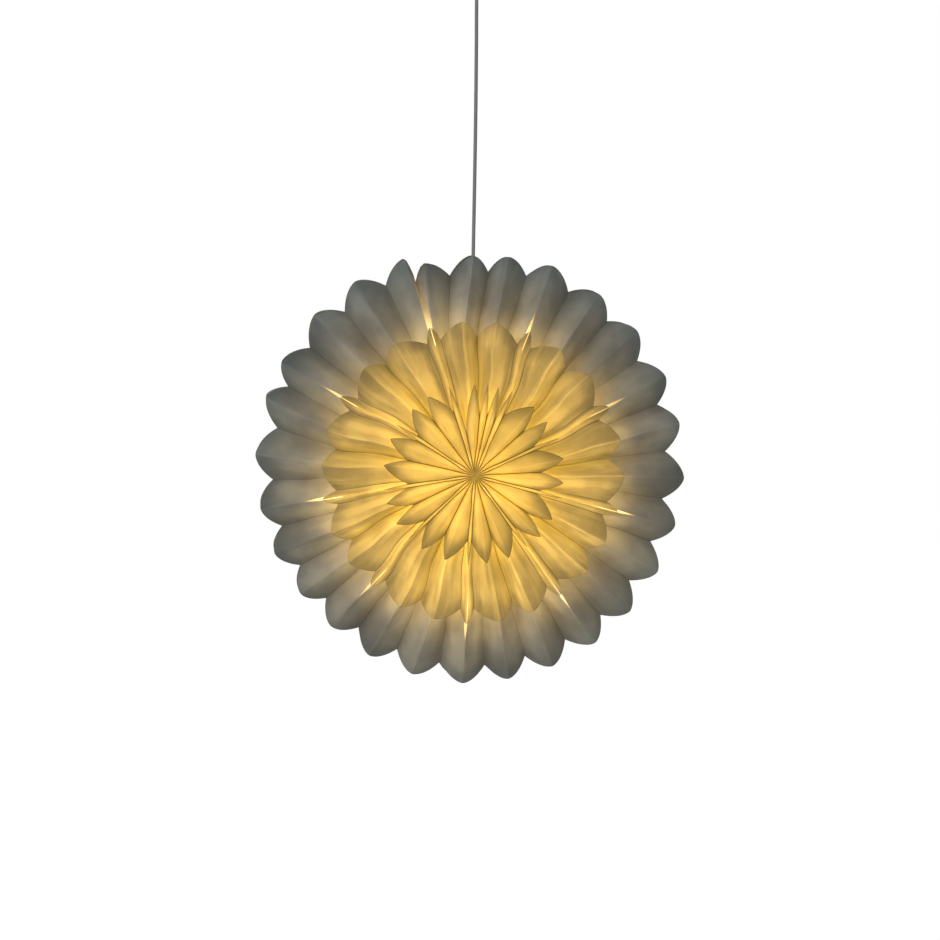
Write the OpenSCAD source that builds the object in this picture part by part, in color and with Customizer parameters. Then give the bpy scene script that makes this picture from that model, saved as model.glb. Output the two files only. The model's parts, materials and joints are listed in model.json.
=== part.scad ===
// Hanging paper star lamp: nine pleated modules glued edge to edge round a lamp holder.
// Millimetres. The origin is on the ceiling, the lamp hangs down -Z and its front faces -Y.

/* [Star] */
// Diameter across the tips of the outer petals
star_d = 600; // [560:5:640]
// Diameter across the tips of the middle petals
middle_d = 420; // [400:5:440]
// Diameter across the tips of the front rosette
inner_d = 250; // [220:5:270]
// Diameter at which the middle strips begin, behind the front rosette
middle_in_d = 120; // [100:5:140]
// Diameter at which the outer modules begin
outer_in_d = 364; // [350:2:380]
// Drop from the ceiling to the middle of the star
drop = 740; // [700:10:900]

/* [Paper] */
// Thickness of the paper
paper_t = 0.3; // [0.2:0.05:0.4]
// Gap left between glued layers
glue_gap = 0.05; // [0.02:0.01:0.1]
// Width of one panel of the front rosette, from fold to fold
inner_w = 17; // [14:1:20]
// Width of one panel of the middle row
middle_w = 34; // [30:1:38]
// Width of one panel of the outer row
outer_w = 38; // [37:1:40]

/* [Relief] */
// Height of the outer ridges over the mid-plane at the rim
outer_tip_h = 22; // [20:1:26]
// Height of the outer ridges where the outer row begins
outer_in_h = 47; // [45:1:52]
// Height of the middle ridges at the centre
middle_h = 72; // [70:1:80]
// Rise from one row's ridges to the next row's
row_gap = 14; // [13:1:17]
// Clearance between the stacked folds at the centre
stack_gap = 7; // [5:1:10]
// Radius of the hole where the folds gather
gather_r = 6; // [6:0.5:10]
// Radius at which the folds by the joints have settled against them
fan_r = 45; // [40:1:55]
// Drop of the glue tabs behind a ridge
tab_h = 8; // [6:1:12]
// Height over the mid-plane at which the middle row's glue tabs end
tab_foot = 22; // [20:1:24]

/* [Petals] */
// Depth of the notches between the outer petals
outer_notch = 24; // [16:1:30]
// Depth of the notches between the middle petals
middle_notch = 20; // [14:1:26]
// Depth of the notches between the front petals
inner_notch = 33; // [28:1:40]
// Depth of the open gap beside the seam in the rosette
gap_notch = 68; // [50:1:75]
// Half width of the slits between the outer modules
slit_w = 3; // [1.5:0.5:4]
// Radius at which the slits close
slit_end_r = 240; // [230:2:250]
// Spread of the closing seam at the rim, on the first module
seam_first_w = 20; // [12:1:22]
// Spread of the closing seam at the rim, on the last module
seam_last_w = 6; // [4:1:10]

/* [Cord] */
// Diameter of the cord
cord_d = 5; // [4.8:0.1:5.4]
// Clearance of the cord in the pieces that it runs through
cord_clear = 0.2; // [0.1:0.05:0.4]

/* [Lamp holder] */
// Outer diameter of the holder
holder_d = 42; // [40:1:46]
// Length of the holder's shell
holder_len = 46; // [44:1:52]
// Wall of the holder's shell
holder_wall = 1.6; // [1.2:0.1:2]
// Height of the domed cap on the holder
cap_h = 14; // [12:1:18]
// Length of the tapered cord grip on the cap
grip_len = 22; // [20:1:28]
// Diameter of the cord grip at its foot
grip_d = 10; // [9:0.5:12]

/* [Bulb] */
// Diameter of the bulb's globe
bulb_d = 60; // [55:1:62]
// Length of the bulb from its lowest point to its contact
bulb_len = 108; // [102:1:112]
// Distance of the globe's middle below the star's middle
bulb_low = 25; // [20:1:32]
// Diameter of the bulb's screw cap
screw_d = 26.4; // [26:0.1:26.6]
// Length of the bulb's screw cap
screw_len = 24; // [22:1:26]
// Clearance of the screw cap in the holder
screw_clear = 0.3; // [0.2:0.05:0.4]

/* [Hanger] */
// Length of the bar that carries the paper, front to back
bar_len = 44; // [40:1:48]
// Width of the bar
bar_w = 14; // [12:1:16]
// Thickness of the bar
bar_t = 3; // [2:0.5:4]
// Gap between the bar and the paper it carries
bar_gap = 0.2; // [0.1:0.1:0.3]
// Diameter of the stop clamped on the cord under the bar
stop_d = 13; // [11:0.5:16]
// Height of the cord stop
stop_h = 12; // [10:1:16]

/* [Ceiling fitting] */
// Diameter of the ceiling cup at its rim
cup_d = 110; // [100:1:120]
// Diameter of the ceiling cup's flat bottom
cup_bottom_d = 62; // [56:1:70]
// Height of the ceiling cup
cup_h = 62; // [58:1:70]
// Wall of the ceiling cup
cup_wall = 2; // [1.6:0.1:2.4]
// Diameter of the cord gland in the cup
gland_d = 14; // [12:0.5:18]
// Length of the bracket under the ceiling
bracket_len = 84; // [80:1:92]
// Width of the bracket
bracket_w = 18; // [16:1:22]
// Thickness of the bracket
bracket_t = 2; // [1.5:0.1:3]
// Spacing of the two ceiling screws
screw_spacing = 60; // [56:1:64]
// Diameter of the ceiling screw holes
screw_hole_d = 5; // [4:0.5:6]
// Length of the terminal block
block_len = 26; // [22:1:32]
// Width of the terminal block
block_w = 16; // [14:1:20]
// Height of the terminal block
block_h = 18; // [16:1:22]

/* [Hidden] */
MODULES = 9;
// Angles of the joints between modules, clockwise from the top: through the two inner rows
JOINT_IN = [-16.5, 24, 66, 104.5, 143, 183, 225, 260, 302.5, 343.5];
// The same joints further out, where the hand-glued modules have settled
JOINT_OUT = [-17, 21, 63.5, 104.5, 143.5, 181.5, 221.5, 259.5, 299.5, 343];
// How far the hand-glued rim stands out or in at each joint
REACH = [-5, 7, 2, -3, -1, -2, -9, -3, 3, 9];
// Places of the folds across a module: joint, valley, ridge, valley, ridge, valley, joint
FOLDS_EVEN = [0, 0.167, 0.333, 0.5, 0.667, 0.833, 1];
FOLDS_MIDDLE = [0, 0.07, 0.32, 0.49, 0.66, 0.93, 1];
// The same for each module of the rosette, the first one squeezed beside the seam
FOLDS_ROSETTE = [[0, 0.13, 0.4, 0.52, 0.61, 0.7, 0.78, 0.9, 1],
                 [0, 0.04, 0.4, 0.58, 0.7, 0.96, 1], [0, 0.04, 0.35, 0.56, 0.75, 0.96, 1],
                 [0, 0.04, 0.39, 0.54, 0.73, 0.96, 1], [0, 0.04, 0.34, 0.51, 0.69, 0.96, 1],
                 [0, 0.04, 0.36, 0.52, 0.75, 0.96, 1], [0, 0.04, 0.35, 0.5, 0.75, 0.96, 1],
                 [0, 0.04, 0.37, 0.51, 0.77, 0.96, 1], [0, 0.04, 0.34, 0.49, 0.64, 0.95, 1]];
// Depth of the folds as a share of the pleats' depth
DROPS_EVEN = [0, 1, 0, 1, 0, 1, 0];
DROPS_MIDDLE = [0, 0.15, 0, 0.7, 0, 0.15, 0];
ROSETTE_DROP = 0.8;
ROSETTE_JOINT_DROP = 0.3;
// Roundness of the petals' ends: below 1 hollow, 1 straight, above 1 full
OUTER_ROUND = 1.7;
MIDDLE_ROUND = 1.9;
ROSETTE_ROUND = 1.15;
// Route of the cord: across, deep and below the ceiling as a share of its straight run
CORD_ROUTE = [[0, 0, 0], [0, 0, 0.1], [0.6, 0, 0.2], [1, 0, 0.35], [0.8, 0, 0.5], [0.3, 0, 0.65],
              [0, 0, 0.78], [0, 0, 0.9], [0, 0, 1]];
CORD_RINGS = 41;
CORD_SIDES = 8;
$fn = 64;

star_z = -drop;
star_r = star_d / 2;
middle_r = middle_d / 2;
inner_r = inner_d / 2;
middle_in_r = middle_in_d / 2;
outer_in_r = outer_in_d / 2;
glue_step = paper_t + glue_gap;
tab_in_s = glue_gap + paper_t / 2;
tab_mid_s = tab_in_s + glue_step;
wall_in_s = tab_mid_s + glue_step;
wall_out_s = tab_in_s;
wall_flat = 0.6;
wall_turn_lead = 10;
wall_turn_r = middle_r + wall_turn_lead;
wall_turn_len = 15;
cut_over = 1;
miter_max = 2;
flip_min = 0.2;

// Length of the holder's shell below the bulb's screw cap
shell_skirt = 8;
holder_low = bulb_len - bulb_d / 2 - bulb_low - screw_len - shell_skirt;
holder_top = holder_low + holder_len;
screw_top = bulb_len - bulb_d / 2 - bulb_low;
cap_top = holder_top + cap_h;
grip_top = cap_top + grip_len;
bar_top = outer_in_r - bar_gap;
block_low = -bracket_t - block_h;

paper_colour = "#c9a15c";
rim_colour = "#7d7a70";
white = "#f2f1ec";

// Plain helpers
function mix(a, b, t) = a + (b - a) * t;
function clamp01(t) = min(1, max(0, t));
function ease(t) = let (c = clamp01(t)) c * c * (3 - 2 * c);
function rad(a) = a * PI / 180;
function deg(a) = a * 180 / PI;

// Angle of joint k at radius r: it settles from one list to the other between the rows
function joint_at(k, r) = mix(JOINT_IN[k], JOINT_OUT[k], ease((r - inner_r) / (outer_in_r - inner_r)));
function mid_angle(k) = (JOINT_IN[k] + JOINT_IN[k + 1]) / 2;
function module_angle(k, r) = joint_at(k + 1, r) - joint_at(k, r);

// Depth from ridge to valley of panels w wide at radius r: the fan opens as the radius grows
function pleat_depth(w, r, k) =
    let (half = r * rad(module_angle(k, r) / 6))
    sqrt(max(w * w - half * half, pow(w * flip_min, 2)));

// Ridge heights of the three rows over the mid-plane
function outer_ridge(r) = mix(outer_in_h, outer_tip_h, (r - outer_in_r) / (star_r - outer_in_r));
middle_tip_h = outer_ridge(middle_r) + row_gap;
function middle_ridge(r) = mix(middle_h, middle_tip_h, r / middle_r);
inner_h = middle_h + inner_w + stack_gap;
inner_tip_h = middle_ridge(inner_r) + row_gap;
function inner_ridge(r) = mix(inner_h, inner_tip_h, r / inner_r);

// Share of a petal's end from its tip (0) to the notch (1) at column i, two columns to a panel
function edge_share(i) = abs((i % 4) - 2) == 2 ? 0 : abs((i % 4) - 2) == 1 ? 0.5 : 1;
// Value of a list of folds at column i
function at_column(values, i) =
    i % 2 == 0 ? values[i / 2] : (values[(i - 1) / 2] + values[(i + 1) / 2]) / 2;
PANEL_COLUMNS = 12;

// Folds of an inner row at radius r: even where they gather, then where the list has them
function folds_at(folds, r) =
    let (t = ease((r - gather_r) / (fan_r - gather_r)), panels = len(folds) - 1)
    [for (i = [0:panels]) mix(i / panels, folds[i], t)];

// Depth of the notch at column i of a rosette sheet: the first module is open beside the seam
function rosette_notch(k, i) = k == 0 && i < 4 ? gap_notch : inner_notch;

// Point at radius r, distance s along the arc from the module's middle and height d to the front
function place(k, r, s, d, side) =
    let (a = mid_angle(k) + deg(s / r))
    [r * sin(a), -side * d, star_z + r * cos(a)];

// Offset of a folded section: normal of a step, and the limited mitre at a fold
function step_normal(p, q) = let (v = [q[1] - p[1], q[2] - p[2]]) [-v[1], v[0]] / max(norm(v), 1e-6);
function mitre(n, m) =
    let (v = (n + m) / max(1 + n * m, 1e-4), len = norm(v) * paper_t / 2)
    v * paper_t / 2 * min(1, miter_max / len);
function shift(p, m, sign) = [p[0], p[1] + sign * m[0], p[2] + sign * m[1]];
function thick_row(row, closed, sign) =
    let (n = len(row))
    [for (j = [0:n - 1])
        let (before = closed || j > 0 ? step_normal(row[(j + n - 1) % n], row[j])
                                      : step_normal(row[0], row[1]),
             after = closed || j < n - 1 ? step_normal(row[j], row[(j + 1) % n]) : before)
        shift(row[j], mitre(before, after), sign)];

// Faces between two stacked grids of n rings and m columns, outer grid first
function quad(a, b, c, d) = [[a, b, c], [a, c, d]];
function flat(lists) = [for (l = lists) each l];
function sheet_faces(n, m, closed) =
    let (spans = closed ? m : m - 1, under = n * m)
    flat(flat([
        [for (i = [0:n - 2], j = [0:spans - 1])
            let (q = (j + 1) % m)
            quad(i * m + j, (i + 1) * m + j, (i + 1) * m + q, i * m + q)],
        [for (i = [0:n - 2], j = [0:spans - 1])
            let (q = (j + 1) % m)
            [[under + i * m + j, under + (i + 1) * m + q, under + (i + 1) * m + j],
             [under + i * m + j, under + i * m + q, under + (i + 1) * m + q]]],
        [for (j = [0:spans - 1])
            let (q = (j + 1) % m)
            quad(j, q, under + q, under + j)],
        [for (j = [0:spans - 1])
            let (q = (j + 1) % m, e = (n - 1) * m)
            quad(e + q, e + j, under + e + j, under + e + q)],
        closed ? [] : [for (i = [0:n - 2])
            quad(i * m, under + i * m, under + (i + 1) * m, (i + 1) * m)],
        closed ? [] : [for (i = [0:n - 2])
            let (e = m - 1)
            quad((i + 1) * m + e, under + (i + 1) * m + e, under + i * m + e, i * m + e)],
    ]));

// Solid sheet from rings of [r, s, d] points; a back sheet is the mirror of a front one
module sheet(k, rings, closed, side) {
    rows_out = [for (ring = rings) thick_row(ring, closed, 1)];
    rows_in = [for (ring = rings) thick_row(ring, closed, -1)];
    points = [for (ring = concat(rows_out, rows_in), p = ring) place(k, p[0], p[1], p[2], side)];
    faces = sheet_faces(len(rings), len(rings[0]), closed);
    polyhedron(points, side > 0 ? faces : [for (f = faces) [f[2], f[1], f[0]]]);
}

// Pleated strip of one module: panels between two joints, with a glue tab down each joint
function strip_column(k, i, r, w, ridge_h, folds, drops, s_off) =
    let (f = at_column(folds_at(folds, r), i),
         a = mix(joint_at(k, r), joint_at(k + 1, r), f),
         off = mix(s_off, -s_off, f))
    [r, rad(a - mid_angle(k)) * r + off, ridge_h - at_column(drops, i) * pleat_depth(w, r, k)];
function tab_point(k, side, r, d, s_off) =
    [r, rad(joint_at(k + side, r) - mid_angle(k)) * r + (side == 0 ? s_off : -s_off), d];

module rosette(k, side) {
    folds = FOLDS_ROSETTE[k];
    panels = len(folds) - 1;
    drops = [for (i = [0:panels])
        i == 1 || i == panels - 1 ? ROSETTE_JOINT_DROP : i % 2 * ROSETTE_DROP];
    stops = [gather_r, mix(gather_r, fan_r, 1 / 3), mix(gather_r, fan_r, 2 / 3), fan_r,
             (fan_r + inner_r) / 2, inner_r];
    rings = [for (stop = stops)
        let (u = (stop - gather_r) / (inner_r - gather_r),
             foot = middle_ridge(stop) - tab_h)
        [tab_point(k, 0, stop, foot, tab_in_s),
         for (i = [0:2 * panels])
            let (tip = inner_r - rosette_notch(k, i) * pow(edge_share(i), ROSETTE_ROUND),
                 r = mix(gather_r, tip, u))
            strip_column(k, i, r, inner_w, inner_ridge(r), folds, drops, tab_in_s),
         tab_point(k, 1, stop, foot, tab_in_s)]];
    sheet(k, rings, false, side);
}

module middle_strip(k, side) {
    twist_mid = (inner_r + outer_in_r) / 2;
    stops = [middle_in_r, inner_r, twist_mid, outer_in_r, middle_r];
    rings = [for (stop = stops)
        let (u = (stop - middle_in_r) / (middle_r - middle_in_r),
             outward = clamp01((stop - inner_r) / (outer_in_r - inner_r)),
             foot = mix(middle_ridge(stop) - tab_h, tab_foot, outward))
        [tab_point(k, 0, stop, foot, tab_mid_s),
         for (i = [0:PANEL_COLUMNS])
            let (tip = middle_r - middle_notch * pow(edge_share(i), MIDDLE_ROUND),
                 r = mix(middle_in_r, tip, u))
            strip_column(k, i, r, middle_w, middle_ridge(r), FOLDS_MIDDLE, DROPS_MIDDLE, tab_mid_s),
         tab_point(k, 1, stop, foot, tab_mid_s)]];
    sheet(k, rings, false, side);
}

// Half width of the V slit beside a module, and the spread of the closing seam
function slit_at(r) = slit_w * clamp01((slit_end_r - r) / (slit_end_r - outer_in_r));
function seam_at(r, wide) =
    mix(slit_w, wide, clamp01((r - middle_r) / (star_r - middle_r)));
function start_spread(k, r) = k == 0 ? seam_at(r, seam_first_w) : slit_at(r);
function end_spread(k, r) = k == MODULES - 1 ? seam_at(r, seam_last_w) : slit_at(r);
function wall_s(r) = mix(wall_in_s, wall_out_s, clamp01((r - wall_turn_r) / wall_turn_len));

// Radius of a point a share u of the way out, where the rim stands reach beyond the star's radius
function outer_r(u, reach) = outer_in_r + u * (star_r + reach - outer_in_r);

// Closed bag of one outer module: front pleats, joint wall, back pleats, joint wall
module outer_module(k) {
    stops = [outer_in_r, wall_turn_r, slit_end_r, (slit_end_r + star_r) / 2, star_r];
    rings = [for (stop = stops)
        let (u = (stop - outer_in_r) / (star_r - outer_in_r),
             r0 = outer_r(u, REACH[k]),
             r1 = outer_r(u, REACH[k + 1]),
             s0 = rad(joint_at(k, r0) - mid_angle(k)) * r0 + wall_s(stop),
             s1 = rad(joint_at(k + 1, r1) - mid_angle(k)) * r1 - wall_s(stop),
             band0 = outer_ridge(r0) * wall_flat,
             band1 = outer_ridge(r1) * wall_flat,
             front = [for (i = [0:PANEL_COLUMNS])
                let (f = at_column(FOLDS_EVEN, i),
                     reach = mix(REACH[k], REACH[k + 1], f) - outer_notch * pow(edge_share(i), OUTER_ROUND),
                     r = outer_r(u, reach),
                     a0 = joint_at(k, r) + deg((wall_s(stop) + start_spread(k, stop)) / stop),
                     a1 = joint_at(k + 1, r) - deg((wall_s(stop) + end_spread(k, stop)) / stop))
                [r, rad(mix(a0, a1, f) - mid_angle(k)) * r,
                 outer_ridge(r) - at_column(DROPS_EVEN, i) * pleat_depth(outer_w, r, k)]])
        concat(front,
               [[r1, s1, band1], [r1, s1, -band1]],
               [for (i = [PANEL_COLUMNS:-1:0]) [front[i][0], front[i][1], -front[i][2]]],
               [[r0, s0, -band0], [r0, s0, band0]])];
    sheet(k, rings, true, 1);
}

// Cord: a tube swept down the route from the terminal block to the holder
cord_top = block_low;
cord_low = star_z + cap_top;
function cord_point(t) =
    let (n = len(CORD_ROUTE) - 1, i = min(n - 1, floor(t * n)), f = t * n - i,
         a = CORD_ROUTE[max(0, i - 1)], b = CORD_ROUTE[i],
         c = CORD_ROUTE[i + 1], d = CORD_ROUTE[min(n, i + 2)],
         p = b + f * (c - a) / 2 + f * f * (a - 2.5 * b + 2 * c - d / 2)
             + f * f * f * (1.5 * (b - c) + (d - a) / 2))
    [p[0], p[1], mix(cord_top, cord_low, p[2])];
module cord() {
    rings = [for (i = [0:CORD_RINGS - 1]) cord_point(i / (CORD_RINGS - 1))];
    points = [for (c = rings, j = [0:CORD_SIDES - 1])
        c + [cos(360 * (j + 0.5) / CORD_SIDES), sin(360 * (j + 0.5) / CORD_SIDES), 0] * cord_d / 2];
    sides = [for (i = [0:CORD_RINGS - 2], j = [0:CORD_SIDES - 1])
        let (q = (j + 1) % CORD_SIDES, a = i * CORD_SIDES, b = a + CORD_SIDES)
        each quad(a + j, a + q, b + q, b + j)];
    top = [for (j = [CORD_SIDES - 1:-1:0]) j];
    foot = [for (j = [0:CORD_SIDES - 1]) (CORD_RINGS - 1) * CORD_SIDES + j];
    color(white) polyhedron(points, concat(sides, [top, foot]));
}

// Straight tube with a bore, from z0 up to z1
module ring(d_out, d_in, z0, z1) {
    translate([0, 0, z0]) difference() {
        cylinder(d = d_out, h = z1 - z0);
        translate([0, 0, -cut_over]) cylinder(d = d_in, h = z1 - z0 + 2 * cut_over);
    }
}

cord_bore = cord_d + 2 * cord_clear;
// Gap between two pieces that are screwed or pushed together
fit_gap = 0.1;

// Rise of the cup's sloping side for each millimetre that it widens
CUP_RISE = 1.2;
module ceiling_cup() {
    side_low = -cup_h + (cup_d - cup_bottom_d) / 2 * CUP_RISE;
    bore_r = gland_d / 2 + cord_clear;
    color(white) rotate_extrude() polygon([
        [bore_r, -cup_h], [cup_bottom_d / 2, -cup_h], [cup_d / 2, side_low],
        [cup_d / 2, 0], [cup_d / 2 - cup_wall, 0], [cup_d / 2 - cup_wall, side_low],
        [cup_bottom_d / 2, -cup_h + cup_wall], [bore_r, -cup_h + cup_wall]]);
}

// Flange of the gland beyond its neck, its tapered nut below the cup and the nut's rim
gland_flange = 3;
gland_nut_h = 12;
gland_rim_h = 4;
gland_lip = 2;
// Height of the lock nut inside the cup
gland_lock_h = 5;
module cup_gland() {
    neck = gland_d / 2;
    flange = neck + gland_flange;
    low = -cup_h - fit_gap;
    high = -cup_h + cup_wall + fit_gap;
    color(white) rotate_extrude() polygon([
        [cord_bore / 2, low - gland_nut_h], [neck - gland_lip, low - gland_nut_h],
        [flange, low - gland_rim_h], [flange, low], [neck, low], [neck, high],
        [flange, high], [flange, high + gland_lock_h], [cord_bore / 2, high + gland_lock_h]]);
}

module ceiling_bracket() {
    color("#b9babc") difference() {
        translate([-bracket_len / 2, -bracket_w / 2, -bracket_t]) cube([bracket_len, bracket_w, bracket_t]);
        for (side = [-1, 1]) translate([side * screw_spacing / 2, 0, -bracket_t - cut_over])
            cylinder(d = screw_hole_d, h = bracket_t + 2 * cut_over);
    }
}

// Diameter of the wire holes in the terminal block
wire_hole_d = 4;
module terminal_block() {
    color("#e9e7df") difference() {
        translate([-block_len / 2, -block_w / 2, block_low]) cube([block_len, block_w, block_h]);
        for (side = [-1, 1]) translate([side * block_len / 4, 0, block_low + block_h / 2])
            rotate([90, 0, 0]) cylinder(d = wire_hole_d, h = block_w + 2, center = true);
    }
}

module hanger_bar() {
    z1 = star_z + bar_top;
    color(white) difference() {
        translate([0, 0, z1 - bar_t]) linear_extrude(bar_t) {
            square([bar_w, bar_len - bar_w], center = true);
            for (side = [-1, 1]) translate([0, side * (bar_len - bar_w) / 2]) circle(d = bar_w);
        }
        translate([0, 0, z1 - bar_t - cut_over]) cylinder(d = cord_bore, h = bar_t + 2 * cut_over);
    }
}

module cord_stop() {
    z1 = star_z + bar_top - bar_t - bar_gap;
    color(white) ring(stop_d, cord_bore, z1 - stop_h, z1);
}

// Wall of the cord grip at its thin end
grip_wall = 1.2;
module cord_grip() {
    color(white) rotate_extrude() polygon([
        [cord_bore / 2, star_z + cap_top], [grip_d / 2, star_z + cap_top],
        [cord_bore / 2 + grip_wall, star_z + grip_top], [cord_bore / 2, star_z + grip_top]]);
}

module holder_cap() {
    foot = star_z + holder_top;
    color(white) rotate_extrude() difference() {
        translate([0, foot]) intersection() {
            scale([1, cap_h / (holder_d / 2)]) circle(d = holder_d);
            square([holder_d / 2, cap_h]);
        }
        translate([0, foot - cut_over]) square([cord_bore / 2, cap_h + 2 * cut_over]);
    }
}

module holder_shell() {
    color(white) ring(holder_d, holder_d - 2 * holder_wall, star_z + holder_low, star_z + holder_top);
}

// Length of the bulb's screw cap that shows below the insert
screw_shows = 4;
module socket_insert() {
    fit_d = holder_d - 2 * (holder_wall + fit_gap);
    low = star_z + screw_top - screw_len + screw_shows;
    depth = screw_len - screw_shows + screw_clear;
    color("#e6e2d6") translate([0, 0, low]) difference() {
        cylinder(d = fit_d, h = star_z + holder_top - fit_gap - low);
        translate([0, 0, -cut_over]) cylinder(d = screw_d + 2 * screw_clear, h = depth + cut_over);
    }
}

// Tapered end of the bulb's screw cap, and its contact
cap_taper = 5;
contact_h = 1;
contact_d = 10;
module bulb_cap() {
    tip = star_z + screw_top;
    color("#c8c6c0") rotate_extrude() polygon([
        [0, tip - screw_len], [screw_d / 2, tip - screw_len], [screw_d / 2, tip - cap_taper],
        [screw_d / 3, tip - contact_h], [contact_d / 2, tip], [0, tip]]);
}

// Angle over the globe's middle at which the bulb's neck begins, and the bend of the neck
NECK_ANGLE = 35;
NECK_BEND = [0.55, 0.45];
// Step of the glass inside the screw cap's edge
glass_step = 0.5;
module bulb_glass() {
    neck_r = screw_d / 2 - glass_step;
    top = screw_top - screw_len;
    globe_r = bulb_d / 2;
    color("#fff3d6") translate([0, 0, star_z]) rotate_extrude() polygon(concat(
        [[0, -bulb_low - globe_r]],
        [for (a = [-80:10:NECK_ANGLE]) [cos(a) * globe_r, sin(a) * globe_r - bulb_low]],
        [[mix(cos(NECK_ANGLE) * globe_r, neck_r, NECK_BEND[0]),
          mix(sin(NECK_ANGLE) * globe_r - bulb_low, top, NECK_BEND[1])],
         [neck_r, top], [0, top]]));
}

for (k = [0:MODULES - 1]) {
    color(rim_colour) outer_module(k);
    color(paper_colour) middle_strip(k, 1);
    color(paper_colour) middle_strip(k, -1);
    color(paper_colour) rosette(k, 1);
    color(paper_colour) rosette(k, -1);
}
cord();
ceiling_cup();
cup_gland();
ceiling_bracket();
terminal_block();
hanger_bar();
cord_stop();
cord_grip();
holder_cap();
holder_shell();
socket_insert();
bulb_cap();
bulb_glass();
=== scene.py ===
"""Looks of a hanging paper star lamp: pleated sheets, cord, holder, bulb and ceiling fitting.

The star's middle hangs below the ceiling, its face looks towards -Y. Angles round the star run
clockwise from the top, as seen from the front. Sizes are in metres unless a name says otherwise.
"""

import json
import logging
import math
import random
from dataclasses import dataclass, fields
from enum import Enum
from functools import cache
from typing import Callable, Sequence

import bmesh
import bpy
from mathutils import Matrix, Vector

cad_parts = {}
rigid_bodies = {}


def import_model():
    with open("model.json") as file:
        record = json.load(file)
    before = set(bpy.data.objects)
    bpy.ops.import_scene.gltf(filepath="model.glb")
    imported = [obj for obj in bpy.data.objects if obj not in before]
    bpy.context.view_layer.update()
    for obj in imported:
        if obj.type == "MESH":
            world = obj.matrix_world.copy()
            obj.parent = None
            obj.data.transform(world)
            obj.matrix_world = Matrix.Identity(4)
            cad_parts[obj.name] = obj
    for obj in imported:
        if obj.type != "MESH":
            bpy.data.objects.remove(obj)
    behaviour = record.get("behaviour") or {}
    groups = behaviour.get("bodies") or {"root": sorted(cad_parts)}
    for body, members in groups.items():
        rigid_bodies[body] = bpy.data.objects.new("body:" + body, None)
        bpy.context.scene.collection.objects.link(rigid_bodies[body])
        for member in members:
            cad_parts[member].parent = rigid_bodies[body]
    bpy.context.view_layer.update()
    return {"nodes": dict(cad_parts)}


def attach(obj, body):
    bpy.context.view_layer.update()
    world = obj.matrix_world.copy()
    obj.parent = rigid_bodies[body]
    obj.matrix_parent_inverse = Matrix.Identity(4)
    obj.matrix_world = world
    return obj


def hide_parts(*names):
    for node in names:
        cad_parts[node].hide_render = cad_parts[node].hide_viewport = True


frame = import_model()
LOG = logging.getLogger("paper_star_lamp")
MM = 0.001
BODY = "root"
PANELS = 6
PAPER_T = 0.3 * MM
MERGE = 1e-6
Socket = bpy.types.NodeSocket
Thing = bpy.types.Object
Relief = Callable[[float, float], float]


class Side(Enum):
    """Which face of the star a sheet belongs to."""

    FRONT = 1
    BACK = -1


def mix(a: float, b: float, t: float) -> float:
    """Value a share t of the way from a to b."""
    return a + (b - a) * t


def clamp01(t: float) -> float:
    """t kept between 0 and 1."""
    return min(1.0, max(0.0, t))


def ease(t: float) -> float:
    """Smooth step from 0 to 1."""
    c = clamp01(t)
    return c * c * (3 - 2 * c)


def wave(seed: int) -> Callable[[], float]:
    """A repeatable source of small hand-made differences.

    Args:
        seed: whole number that picks the series.

    Returns:
        A function that gives the next number between -1 and 1.
    """
    source = random.Random(seed)
    return lambda: source.uniform(-1, 1)


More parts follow.
